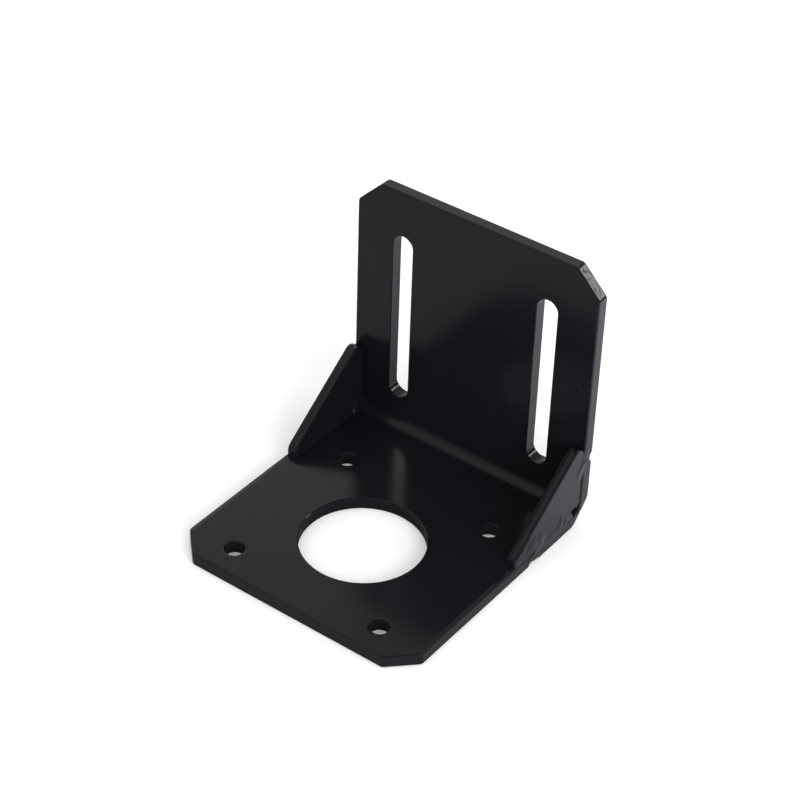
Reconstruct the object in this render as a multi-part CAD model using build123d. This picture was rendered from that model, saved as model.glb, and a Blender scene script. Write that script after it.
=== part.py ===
from build123d import *
import os

# Mounting bracket for a small square-flanged stepper motor: a steel plate folded into an
# angle, with a triangular gusset tack-welded flush along each side.
#
# Frame: the origin is on the axis of the motor pilot hole, in the plane of the underside.
# +Z points up, +Y from the free end of the base towards the upright, +X along the fold.
# Millimetres.

# Folded plate
plate_thickness = 2.5
plate_width = 49.7
free_end_distance = 21.0  # pilot axis to the free end of the base
upright_distance = 29.5  # pilot axis to the inner face of the upright
bracket_height = 51.5  # underside to the top of the upright
bend_radius = 2.0  # inside the fold
outer_bend_radius = 5.2  # outside the fold, where bending has thinned the plate
base_corner_cut = 4.7
upright_corner_cut = 4.9
corner_radius = 1.0  # where a cut corner meets a side
edge_radius = 0.35  # tumbled and painted edges
rim_chamfer = 0.12  # deburred rims of the holes and slots
fold_roll_radius = 3.0  # sides that folding draws in towards the outside of the fold
fold_roll_start = 0.5  # from the inside of the fold to where a side starts to roll in

# Motor holes in the base
pilot_diameter = 22.2
motor_hole_spacing = 31.0
motor_hole_diameter = 3.5

# Adjustment slots in the upright
slot_spacing = 30.0
slot_width = 4.1
slot_travel = 30.2  # between the centres of a slot's two ends
slot_floor = 8.5  # underside to the lower end of a slot

# Gussets
gusset_thickness = 2.1
gusset_length = 19.1
gusset_height = 15.9  # above the base, to the corner that the tip rounds off
gusset_nose_height = 1.6  # upright front edge, before its rounding
gusset_nose_radius = 2.0
gusset_tip_radius = 1.6
gusset_gap = 0.3  # open joint between a gusset and the upright
heel_clearance = 0.2  # what the heel's chamfer has over the bend radius
relief_radius = 1.05  # round notch at the heel, centred above the start of the fold
relief_height = 1.0  # above the base
gusset_edge_radius = 0.3

# Tack welds, ground back to low beads across the joints on the outer sides
weld_rise = 0.15
weld_root = 1.0  # how deep the weld metal fills a joint
front_weld_radius = 3.0
front_weld_setback = 5.7  # behind the front of the gusset
front_weld_height = 1.3  # above the base
rear_weld_radius = 1.5
rear_weld_setback = 4.9  # ahead of the upright's inner face
rear_weld_height = 0.4  # above the base
tip_weld_radius = 2.1
tip_weld_height = 10.7  # above the base

# Places where welding has eaten into the edges of the plate, on the +X side
front_burn_length = 2.0
front_burn_depth = 0.9
front_burn_lead = 0.8  # ahead of the middle of the front weld
burn_tail_length = 3.2
burn_tail_depth = 0.4
burn_tail_lag = 0.4  # behind the middle of the front weld
upright_burn_length = 2.6
upright_burn_depth = 0.75
upright_burn_height = 10.9  # above the base

# Sizes that follow
half_width = plate_width / 2
upright_back = upright_distance + plate_thickness
base_top = plate_thickness
gusset_back = upright_distance - gusset_gap
heel_chamfer = bend_radius + heel_clearance
gusset_front = gusset_back - gusset_length
front_weld_y = gusset_front + front_weld_setback
rear_weld_y = upright_distance - rear_weld_setback


def angle_section():
    """Side profile of the folded plate, in the YZ plane."""
    outline = Polyline(
        (-free_end_distance, 0),
        (upright_back, 0),
        (upright_back, bracket_height),
        (upright_distance, bracket_height),
        (upright_distance, base_top),
        (-free_end_distance, base_top),
        close=True,
    )
    section = make_face(outline)
    corners = section.vertices()
    outer = corners.sort_by_distance((upright_back, 0, 0))[0]
    inner = corners.sort_by_distance((upright_distance, base_top, 0))[0]
    section = fillet(outer, outer_bend_radius).face()
    inner = section.vertices().sort_by_distance(inner.center())[0]
    return fillet(inner, bend_radius).face()


def motor_holes():
    """Cutters for the pilot hole and the four motor screws."""
    depth = 3 * plate_thickness
    pilot = Cylinder(pilot_diameter / 2, depth)
    screw = Cylinder(motor_hole_diameter / 2, depth)
    screws = GridLocations(motor_hole_spacing, motor_hole_spacing, 2, 2) * screw
    return Pos(0, 0, base_top / 2) * (pilot + screws)


def adjustment_slots():
    """Cutters for the two upright slots."""
    depth = 3 * plate_thickness
    shape = SlotCenterToCenter(slot_travel, slot_width, rotation=90)
    slot = extrude(Plane.XZ * shape, depth / 2, both=True)
    middle = slot_floor + (slot_travel + slot_width) / 2
    centre = Pos(0, upright_distance + plate_thickness / 2, middle)
    return [centre * place * slot for place in GridLocations(slot_spacing, 0, 2, 1)]


def cap_ball_radius(length, depth):
    """Radius of the ball whose cap measures this length across and this depth."""
    return (length**2 / 4 + depth**2) / (2 * depth)


def rims(plate):
    """Edges where the holes and slots break through the plate's four broad faces."""
    broad = plate.faces().sort_by(SortBy.AREA)[-4:]
    return [edge for face in broad for wire in face.inner_wires() for edge in wire.edges()]


def fold_roll():
    """Cutter that rounds the +X side off towards the outside of the fold, where folding has
    stretched the plate and drawn its side in. It starts along a line square to the fold's
    middle, where it is tangent to the side."""
    reach = 4 * outer_bend_radius
    slab = Pos(half_width - fold_roll_radius / 2, reach / 2) * Box(fold_roll_radius, reach, reach)
    roll = Pos(half_width - fold_roll_radius) * Cylinder(fold_roll_radius, reach)
    start = (bend_radius + fold_roll_start) / 2**0.5
    middle = (0, upright_distance - bend_radius + start, base_top + bend_radius - start)
    return Pos(*middle) * Rot(X=-45) * (slab - roll)


def burn_scallop(length, depth):
    """Ball that leaves a hollow of this length and depth on an edge that runs along Z and
    faces +X and +Y, with the edge at the origin."""
    radius = cap_ball_radius(length, depth)
    stand_off = (radius - depth) / 2**0.5
    return Pos(stand_off, stand_off, 0) * Sphere(radius)


def weld_burns():
    """Cutters for the two edges that welding has eaten into. The one under the front weld
    starts deep and tails off towards the fold."""
    front = Pos(half_width, front_weld_y - front_burn_lead, 0) * Rot(X=-90)
    tail = Pos(half_width, front_weld_y + burn_tail_lag, 0) * Rot(X=-90)
    upright_edge = Pos(half_width, upright_back, base_top + upright_burn_height)
    return [
        front * burn_scallop(front_burn_length, front_burn_depth),
        tail * burn_scallop(burn_tail_length, burn_tail_depth),
        upright_edge * burn_scallop(upright_burn_length, upright_burn_depth),
    ]


def angle_plate():
    """The folded plate with its corners cut, holes and slots pierced and edges broken."""
    blank = extrude(Plane.YZ * angle_section(), half_width, both=True)
    base_corners = blank.edges().filter_by(Axis.Z).group_by(Axis.Y)[0]
    blank = chamfer(base_corners, base_corner_cut)
    upright_corners = blank.edges().filter_by(Axis.Y).group_by(Axis.Z)[-1]
    blank = chamfer(upright_corners, upright_corner_cut)
    cut_corners = blank.edges().filter_by(Axis.Z).group_by(Axis.Y)[:2]
    cut_corners += blank.edges().filter_by(Axis.Y).group_by(Axis.Z)[-2:]
    blank = fillet([edge for group in cut_corners for edge in group], corner_radius)
    blank = blank - fold_roll() - mirror(fold_roll(), about=Plane.YZ)
    plate = fillet(blank.edges(), edge_radius) - motor_holes() - adjustment_slots()
    plate = chamfer(rims(plate), rim_chamfer)
    return plate - weld_burns()


def gusset_profile():
    """Outline of a gusset in the YZ plane: blunt nose, rounded tip, and a heel cut back to
    clear the fold."""
    foot = (gusset_front, base_top)
    heel = (gusset_back - heel_chamfer, base_top)
    heel_top = (gusset_back, base_top + heel_chamfer)
    tip = (gusset_back, base_top + gusset_height)
    nose = (gusset_front, base_top + gusset_nose_height)
    outline = make_face(Polyline(foot, heel, heel_top, tip, nose, close=True))
    outline = fillet(outline.vertices().sort_by_distance((*tip, 0))[0], gusset_tip_radius)
    return fillet(outline.vertices().sort_by_distance((*nose, 0))[0], gusset_nose_radius)


def gusset():
    """The gusset of the +X side, flush with the plate's edge, with a round notch in its heel
    over the start of the fold."""
    side = Plane.YZ.offset(half_width - gusset_thickness)
    web = extrude(side * gusset_profile(), gusset_thickness)
    foot = web.faces().sort_by(Axis.Z)[0]
    web = fillet(web.edges() - foot.edges(), gusset_edge_radius)
    relief = Rot(Y=90) * Cylinder(relief_radius, 3 * gusset_thickness)
    return web - Pos(half_width, upright_distance - bend_radius, base_top + relief_height) * relief


def weld_bead(y, z, radius):
    """Round bead on the +X side, with its root, before the plates are taken out of it."""
    ball_radius = cap_ball_radius(2 * radius, weld_rise)
    ball = Pos(Z=weld_rise - ball_radius) * Sphere(ball_radius)
    crown = split(ball, bisect_by=Plane.XY, keep=Keep.TOP)
    root = Pos(Z=-weld_root / 2) * Cylinder(radius, weld_root)
    return Pos(half_width, y, z) * Rot(Y=90) * (crown + root)


def tack_welds():
    """Three beads on each side: at the nose, by the notch and across the open joint. Each
    fills the groove between the plates beneath it and stops at a burnt edge."""
    joint = upright_distance - gusset_gap / 2
    beads = [
        weld_bead(front_weld_y, base_top + front_weld_height, front_weld_radius),
        weld_bead(rear_weld_y, base_top + rear_weld_height, rear_weld_radius),
        weld_bead(joint, base_top + tip_weld_height, tip_weld_radius),
    ]
    beads += [mirror(bead, about=Plane.YZ) for bead in beads]
    around = [angle_plate(), gusset(), mirror(gusset(), about=Plane.YZ), *weld_burns()]
    return Compound([(bead - around).solids().sort_by(SortBy.VOLUME)[-1] for bead in beads])


os.makedirs("parts", exist_ok=True)
export_step(angle_plate(), "parts/angle_plate.step")
export_step(gusset(), "parts/right_gusset.step")
export_step(mirror(gusset(), about=Plane.YZ), "parts/left_gusset.step")
export_step(tack_welds(), "parts/tack_welds.step")
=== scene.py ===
import math
from functools import reduce

import bmesh
import bpy
from mathutils import Matrix, Vector
from mathutils.noise import turbulence


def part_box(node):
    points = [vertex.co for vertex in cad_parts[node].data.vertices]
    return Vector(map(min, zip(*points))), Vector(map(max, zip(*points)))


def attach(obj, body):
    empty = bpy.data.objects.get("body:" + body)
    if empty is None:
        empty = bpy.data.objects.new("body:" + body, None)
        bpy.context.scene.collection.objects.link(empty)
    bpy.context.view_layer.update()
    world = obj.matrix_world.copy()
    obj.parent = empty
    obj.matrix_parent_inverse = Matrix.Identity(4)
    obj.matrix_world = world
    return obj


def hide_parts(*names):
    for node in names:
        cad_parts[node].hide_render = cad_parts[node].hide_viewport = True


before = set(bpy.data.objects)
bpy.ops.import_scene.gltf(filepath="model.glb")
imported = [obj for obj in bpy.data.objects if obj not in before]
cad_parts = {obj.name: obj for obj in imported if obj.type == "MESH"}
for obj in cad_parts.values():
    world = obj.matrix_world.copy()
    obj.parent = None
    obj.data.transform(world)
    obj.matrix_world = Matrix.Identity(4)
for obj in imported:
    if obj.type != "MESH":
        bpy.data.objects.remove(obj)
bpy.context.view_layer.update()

# Blender's unit is the metre, in the frame of the CAD model: the motor's axis is the Z axis and
# the upright stands towards +Y. Sizes and places on the bracket are given in millimetres.
MM = 0.001

# Sizes of the bracket that its box doesn't give
plate_thickness = 2.5
gusset_thickness = 2.1
upright_corner_cut = 4.9
screw_reach = 15.5  # from the motor's axis to its screws, along X and along Y
screw_hole_radius = 1.75

# Where the plate ends, and what follows from it
half_width, upright_back, upright_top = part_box("angle_plate")[1] / MM
inner_side = half_width - gusset_thickness
upright_middle = upright_back - plate_thickness / 2
cut_corner = half_width + upright_top - upright_corner_cut  # what X and Z add up to on it

# Marks in the metal and the paint
roll_depth = 0.12
rim_depth = 0.05
rim_reach = 0.6  # from the edge of a screw hole
tear_depth = 0.15
pit_x, pit_z, pit_depth = 23.1, 28.6, 0.2
burr_height = 0.3
gusset_roll_depth = 0.4
ripple_depth = 0.1
thinned_gloss = 0.45  # what thin paint adds to the roughness
# Middle of the painted glint, a highlight put into the colour of the spatter in the notch
glint_y, glint_z = 27.1, 3.0

BLACK = (0.0052, 0.0059, 0.0077, 1)
# Light grey for the painted glint on the weld spatter, standing in for a highlight
PAINTED_GLINT_GREY = (0.2, 0.2, 0.21, 1)


# ---------------------------------------------------------------- node helpers

def new_material(name):
    """Material with a Principled shader on its output; returns it, its node tree and the
    shader."""
    material = bpy.data.materials.new(name)
    material.use_nodes = True
    tree = material.node_tree
    tree.nodes.clear()
    shader = tree.nodes.new("ShaderNodeBsdfPrincipled")
    output = tree.nodes.new("ShaderNodeOutputMaterial")
    tree.links.new(shader.outputs["BSDF"], output.inputs["Surface"])
    return material, tree, shader


def noise(tree, scale, detail=2.0):
    """Noise texture at so many cells a metre, on Object coordinates."""
    coords = tree.nodes.new("ShaderNodeTexCoord")
    texture = tree.nodes.new("ShaderNodeTexNoise")
    texture.inputs["Scale"].default_value = scale
    texture.inputs["Detail"].default_value = detail
    tree.links.new(coords.outputs["Object"], texture.inputs["Vector"])
    return texture.outputs["Fac"]


def remap(tree, value, low, high, to_low, to_high):
    """Map Range node, clamped."""
    node = tree.nodes.new("ShaderNodeMapRange")
    node.inputs["From Min"].default_value = low
    node.inputs["From Max"].default_value = high
    node.inputs["To Min"].default_value = to_low
    node.inputs["To Max"].default_value = to_high
    tree.links.new(value, node.inputs["Value"])
    return node.outputs["Result"]


def blend(tree, factor, low, high):
    """Mix node from one colour to another; each is a colour or the output that gives it."""
    node = tree.nodes.new("ShaderNodeMix")
    node.data_type = "RGBA"
    tree.links.new(factor, node.inputs[0])
    for colour, socket in ((low, node.inputs[6]), (high, node.inputs[7])):
        if isinstance(colour, tuple):
            socket.default_value = colour
        else:
            tree.links.new(colour, socket)
    return node.outputs[2]


def maths(tree, operation, *operands):
    """Math node; each operand is a number or an output."""
    node = tree.nodes.new("ShaderNodeMath")
    node.operation = operation
    for operand, socket in zip(operands, node.inputs):
        if isinstance(operand, (int, float)):
            socket.default_value = operand
        else:
            tree.links.new(operand, socket)
    return node.outputs["Value"]


def total(tree, *terms):
    """Sum of numbers and outputs."""
    return reduce(lambda so_far, term: maths(tree, "ADD", so_far, term), terms)


def product(tree, *factors):
    """Product of numbers and outputs."""
    return reduce(lambda so_far, factor: maths(tree, "MULTIPLY", so_far, factor), factors)


def reach_from(tree, first, first_middle, second, second_middle):
    """Distance from a line that runs along the third axis, through these middles of the others."""
    first_leg = maths(tree, "SUBTRACT", first, first_middle)
    second_leg = maths(tree, "SUBTRACT", second, second_middle)
    squares = total(tree, product(tree, first_leg, first_leg), product(tree, second_leg, second_leg))
    return maths(tree, "SQRT", squares)


def reach_along(tree, vector, direction):
    """How far a vector reaches in a direction."""
    node = tree.nodes.new("ShaderNodeVectorMath")
    node.operation = "DOT_PRODUCT"
    node.inputs[1].default_value = direction
    tree.links.new(vector, node.inputs[0])
    return node.outputs["Value"]


def place(tree):
    """X, Y and Z on the bracket, in millimetres."""
    coords = tree.nodes.new("ShaderNodeTexCoord")
    scale = tree.nodes.new("ShaderNodeVectorMath")
    scale.operation = "SCALE"
    scale.inputs["Scale"].default_value = 1 / MM
    axes = tree.nodes.new("ShaderNodeSeparateXYZ")
    tree.links.new(coords.outputs["Object"], scale.inputs[0])
    tree.links.new(scale.outputs["Vector"], axes.inputs["Vector"])
    return [axes.outputs[axis] for axis in "XYZ"]


# ---------------------------------------------------------------- pieces

def add_object(name, shape, material):
    """Object at the origin, made of this bmesh and material."""
    mesh = bpy.data.meshes.new(name)
    shape.to_mesh(mesh)
    shape.free()
    mesh.materials.append(material)
    piece = bpy.data.objects.new(name, mesh)
    bpy.context.collection.objects.link(piece)
    return piece


# ---------------------------------------------------------------- paint

def paint_skin():
    """Node group for sprayed gloss paint: orange peel and a few dust nibs laid over the relief of
    the metal. Relief and Height are in millimetres."""
    group = bpy.data.node_groups.new("paint_skin", "ShaderNodeTree")
    for name, way in (("Relief", "INPUT"), ("Height", "OUTPUT"), ("Roughness", "OUTPUT")):
        group.interface.new_socket(name, in_out=way, socket_type="NodeSocketFloat")
    entry = group.nodes.new("NodeGroupInput")
    out = group.nodes.new("NodeGroupOutput")
    peel_depth, nib_height = 0.003, 0.03
    nib_cutoff = 0.6  # of a cell's own random tone: past it, the cell has a nib
    peel = product(group, noise(group, 900), peel_depth)
    coords = group.nodes.new("ShaderNodeTexCoord")
    dust = group.nodes.new("ShaderNodeTexVoronoi")
    dust.inputs["Scale"].default_value = 130
    group.links.new(coords.outputs["Object"], dust.inputs["Vector"])
    nib = remap(group, dust.outputs["Distance"], 0.015, 0.035, nib_height, 0)
    chosen = maths(group, "GREATER_THAN", dust.outputs["Color"], nib_cutoff)
    height = total(group, entry.outputs["Relief"], peel, product(group, nib, chosen))
    group.links.new(height, out.inputs["Height"])
    group.links.new(remap(group, noise(group, 90, 4), 0.3, 0.7, 0.15, 0.19), out.inputs["Roughness"])
    return group


def paint(name, skin, relief, dulled=None, painted_glint=None):
    """Black paint over metal. Each of the last three is a function that adds nodes to a material: the
    metal's relief, how much duller the paint is, and where a glint is painted into the base colour as
    light grey, standing in for a highlight."""
    material, tree, shader = new_material(name)
    shader.inputs["Base Color"].default_value = BLACK
    surface = tree.nodes.new("ShaderNodeGroup")
    surface.node_tree = skin
    tree.links.new(relief(tree), surface.inputs["Relief"])
    bump = tree.nodes.new("ShaderNodeBump")
    bump.inputs["Distance"].default_value = MM
    tree.links.new(surface.outputs["Height"], bump.inputs["Height"])
    tree.links.new(bump.outputs["Normal"], shader.inputs["Normal"])
    roughness = surface.outputs["Roughness"]
    if dulled:
        roughness = total(tree, roughness, dulled(tree))
    tree.links.new(roughness, shader.inputs["Roughness"])
    # Painted glint: light grey base colour inside the mask, standing in for a highlight
    if painted_glint:
        tree.links.new(blend(tree, painted_glint(tree), BLACK, PAINTED_GLINT_GREY), shader.inputs["Base Color"])
    return material


def plate_relief(tree):
    """Edges of the base rolled over by the blanking die, screw holes pressed in a little at the
    rim, torn metal on the cut corners of the upright, and a small pit in its front."""
    x, y, z = place(tree)
    side = maths(tree, "ABSOLUTE", x)
    rolled = remap(tree, side, half_width - 0.75, half_width - 0.4, 0, -roll_depth)
    clear_of_gussets = remap(tree, y, 4, 10, 1, 0)
    screw = reach_from(tree, side, screw_reach, maths(tree, "ABSOLUTE", y), screw_reach)
    rim = remap(tree, screw, screw_hole_radius, screw_hole_radius + rim_reach, 1, 0)
    corner = maths(tree, "ADD", side, z)
    torn = remap(tree, corner, cut_corner - 0.3, cut_corner - 0.1, 0, tear_depth)
    pit = remap(tree, reach_from(tree, x, pit_x, z, pit_z), 0.05, 0.45, -pit_depth, 0)
    return total(
        tree,
        product(tree, rolled, clear_of_gussets),
        product(tree, rim, rim, -rim_depth),
        product(tree, torn, noise(tree, 420)),
        product(tree, pit, maths(tree, "LESS_THAN", y, upright_middle)),
    )


def plate_dulled(tree):
    """Paint drawn thin over the sharp upper edges of the base's sides."""
    x, y, z = place(tree)
    side = maths(tree, "ABSOLUTE", x)
    return product(
        tree,
        maths(tree, "GREATER_THAN", side, half_width - 0.38),
        maths(tree, "GREATER_THAN", z, plate_thickness - 0.25),
        remap(tree, y, 10, 12, thinned_gloss, 0),
    )


def gusset_relief(tree):
    """A shear burr along the inner side of the sloping edge, and the outer side rolled over."""
    x, _, z = place(tree)
    side = maths(tree, "ABSOLUTE", x)
    rise = remap(tree, side, inner_side, inner_side + 0.3, 0, burr_height)
    fall = remap(tree, side, inner_side + 0.4, inner_side + 0.8, 1, 0)
    burr = product(tree, rise, fall, remap(tree, z, 4.2, 5.2, 0, 1))
    rolled = remap(tree, side, half_width - 0.5, half_width, 0, -gusset_roll_depth)
    return total(tree, burr, rolled)


def weld_relief(tree):
    """Ripples of the weld pool."""
    return product(tree, noise(tree, 260, 1), ripple_depth)


def weld_painted_glint(tree):
    """Painted glint: light grey base colour on top of the spatter in the gusset's notch, standing in
    for a highlight there.
    """
    _, y, z = place(tree)
    return remap(tree, reach_from(tree, y, glint_y, z, glint_z), 0.1, 0.35, 1, 0)


skin = paint_skin()
plate_paint = paint("plate_paint", skin, plate_relief, dulled=plate_dulled)
gusset_paint = paint("gusset_paint", skin, gusset_relief)
weld_paint = paint("weld_paint", skin, weld_relief, painted_glint=weld_painted_glint)
for name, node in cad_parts.items():
    node.data.materials.clear()
    node.data.materials.append(gusset_paint if "gusset" in name else plate_paint)


# ---------------------------------------------------------------- welds

def lump(shape, x, y, z, length, height, rise, turn=0.0, depth=0.7):
    """Oval of weld metal on a gusset's outer face at x, with its middle at y and z, standing this
    far proud, its length turned up from Y by so many degrees. It is the crown of an uneven ball,
    flattened to this depth from middle to crown. The unevenness is alike on both sides."""
    buried = 1 - rise / depth
    spread = 0.5 / math.sqrt(1 - buried ** 2)
    unevenness, waves_per_mm = 0.2, 0.5
    ball = bmesh.ops.create_icosphere(shape, subdivisions=5, radius=1.0)["verts"]
    bmesh.ops.scale(shape, vec=(depth, length * spread, height * spread), verts=ball)
    bmesh.ops.rotate(shape, matrix=Matrix.Rotation(math.radians(turn), 3, "X"), verts=ball)
    middle = Vector((x - math.copysign(depth - rise, x), y, z))
    for vert in ball:
        spot = vert.co + middle
        wave = turbulence(Vector((abs(spot.x), spot.y, spot.z)) * waves_per_mm, 1, False)
        vert.co *= 1 + unevenness * (wave - 0.5)
    bmesh.ops.translate(shape, vec=middle, verts=ball)


def side_welds(shape, x):
    """The tack welds of the side at x, smeared nearly flush."""
    # At the front: a broad smear, a ridge along its foot and a thin tail along the seam
    lump(shape, x, 15.9, 3.9, length=7.0, height=5.4, rise=0.33, turn=16)
    lump(shape, x, 15.2, 2.6, length=4.6, height=2.0, rise=0.44, turn=30)
    lump(shape, x, 21.0, 2.5, length=9.0, height=2.4, rise=0.08, turn=2, depth=0.25)
    # Ahead of the notch: two short strokes up from the seam
    lump(shape, x, 23.3, 4.1, length=3.6, height=1.8, rise=0.15, turn=70, depth=0.4)
    lump(shape, x, 25.2, 3.0, length=3.0, height=1.8, rise=0.15, turn=60, depth=0.4)
    # At the tip: a smear across the open joint to the upright, with a ridge on it
    lump(shape, x, 29.2, 13.1, length=5.8, height=3.2, rise=0.2, turn=62, depth=0.5)
    lump(shape, x, 29.4, 13.2, length=3.6, height=1.4, rise=0.36, turn=32)
    # In the notch: spatter, just inside the side
    lump(shape, x * 0.997, 26.9, 2.9, length=1.2, height=0.8, rise=0.1, turn=60, depth=0.4)


def weld_beads():
    """The welds of both sides, their passes melted together. On the +X side the front weld also
    laps over the gusset's sloping edge."""
    shape = bmesh.new()
    side_welds(shape, half_width)
    side_welds(shape, -half_width)
    lump(shape, half_width, 12.6, 5.45, length=4.4, height=1.3, rise=0.16, turn=37, depth=0.4)
    bmesh.ops.scale(shape, vec=(MM, MM, MM), verts=shape.verts)
    beads = add_object("weld_beads", shape, weld_paint)
    fuse = beads.modifiers.new("fuse", "REMESH")
    fuse.mode = "VOXEL"
    fuse.voxel_size = 0.12 * MM
    fuse.use_smooth_shade = True
    soften = beads.modifiers.new("soften", "SMOOTH")
    soften.iterations = 12
    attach(beads, "root")
    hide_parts("tack_welds")


weld_beads()


# ---------------------------------------------------------------- studio

def floor_paper():
    """White paper, a little brighter to the camera. What the gloss picks up of it is dimmer than the
    paper itself, most of all in front and to the left, where the studio is darker, and beneath the
    pilot hole: painted light and shade, standing in for the studio's light and for the base's shadow
    on the floor there."""
    material, tree, shader = new_material("floor_paper")
    shader.inputs["Roughness"].default_value = 0.9
    shader.inputs["Specular IOR Level"].default_value = 0.0
    coords = tree.nodes.new("ShaderNodeTexCoord")
    # Painted light: the tone the gloss sees runs from dark in front and to the left to bright towards
    # the rear right
    rearwards = reach_along(tree, coords.outputs["Object"], (0.8, 1, 0))
    far = remap(tree, rearwards, 0.0, 0.13, 0, 1)
    open_floor = blend(tree, far, (0.27, 0.27, 0.28, 1), (0.75, 0.77, 0.84, 1))
    reach = tree.nodes.new("ShaderNodeVectorMath")
    reach.operation = "LENGTH"
    tree.links.new(coords.outputs["Object"], reach.inputs[0])
    # Painted shade beneath the pilot hole, where the base shades the floor
    clear_of_painted_shade = remap(tree, reach.outputs["Value"], 0.012, 0.022, 0, 1)
    reflected = blend(tree, clear_of_painted_shade, (0.15, 0.15, 0.16, 1), open_floor)
    seen = tree.nodes.new("ShaderNodeLightPath").outputs["Is Camera Ray"]
    tree.links.new(blend(tree, seen, reflected, (0.97, 0.97, 0.97, 1)), shader.inputs["Base Color"])
    lift = blend(tree, seen, (0, 0, 0, 1), (0.1, 0.1, 0.1, 1))
    tree.links.new(lift, shader.inputs["Emission Color"])
    shader.inputs["Emission Strength"].default_value = 1.0
    return material


def floor():
    """Paper that the bracket stands on, out past the edges of the view."""
    sheet = bmesh.new()
    bmesh.ops.create_grid(sheet, x_segments=1, y_segments=1, size=3.0)
    obj = add_object("floor", sheet, floor_paper())


def studio_world():
    """A white tent for the floor and for plain shading. The gloss sees the room instead: grey
    overhead and to the left, dark towards the right."""
    world = bpy.data.worlds.new("studio")
    bpy.context.scene.world = world
    world.use_nodes = True
    tree = world.node_tree
    coords = tree.nodes.new("ShaderNodeTexCoord")
    upper_left = reach_along(tree, coords.outputs["Generated"], (-0.75, 0.25, 0.6))
    room = remap(tree, upper_left, -0.2, 0.5, 0.02, 0.36)
    rays = tree.nodes.new("ShaderNodeLightPath")
    strength = tree.nodes.new("ShaderNodeMix")
    strength.data_type = "FLOAT"
    strength.inputs["A"].default_value = 0.9
    tree.links.new(rays.outputs["Is Glossy Ray"], strength.inputs["Factor"])
    tree.links.new(room, strength.inputs["B"])
    background = tree.nodes["Background"]
    background.inputs["Color"].default_value = (1, 1, 1, 1)
    tree.links.new(strength.outputs["Result"], background.inputs["Strength"])


def softbox(name, towards, distance, width, height, radiance, glossy=True):
    """Area light that shines on the bracket from this direction, this bright to look into, with
    its sizes in metres."""
    data = bpy.data.lights.new(name, "AREA")
    data.shape = "RECTANGLE"
    data.size = width
    data.size_y = height
    data.energy = radiance * math.pi * width * height
    light = bpy.data.objects.new(name, data)
    light.location = Vector(towards).normalized() * distance
    light.rotation_euler = light.location.to_track_quat("Z", "Y").to_euler()
    light.visible_camera = False
    light.visible_glossy = glossy
    bpy.context.collection.objects.link(light)


def camera():
    """Long lens, from in front, above and to the right."""
    data = bpy.data.cameras.new("camera")
    data.sensor_fit = "HORIZONTAL"
    data.sensor_width = 36
    data.lens = 105.45
    obj = bpy.data.objects.new("camera", data)
    obj.location = Vector((181.1, -242.1, 262.7)) * MM
    obj.rotation_euler = [math.radians(angle) for angle in (52.695, -1.589, 37.025)]
    bpy.context.collection.objects.link(obj)
    bpy.context.scene.camera = obj


floor()
studio_world()
softbox("rear_window", (-0.47, 0.68, 0.3), distance=1.5, width=2.0, height=1.1, radiance=0.25)
softbox("side_fill", (0.85, -0.4, 0.25), distance=1.2, width=1.0, height=1.0, radiance=6, glossy=False)
softbox("rear_key", (0.58, 0.68, 0.44), distance=1.0, width=0.15, height=0.15, radiance=7)
camera()
bpy.context.scene.view_settings.view_transform = "Standard"
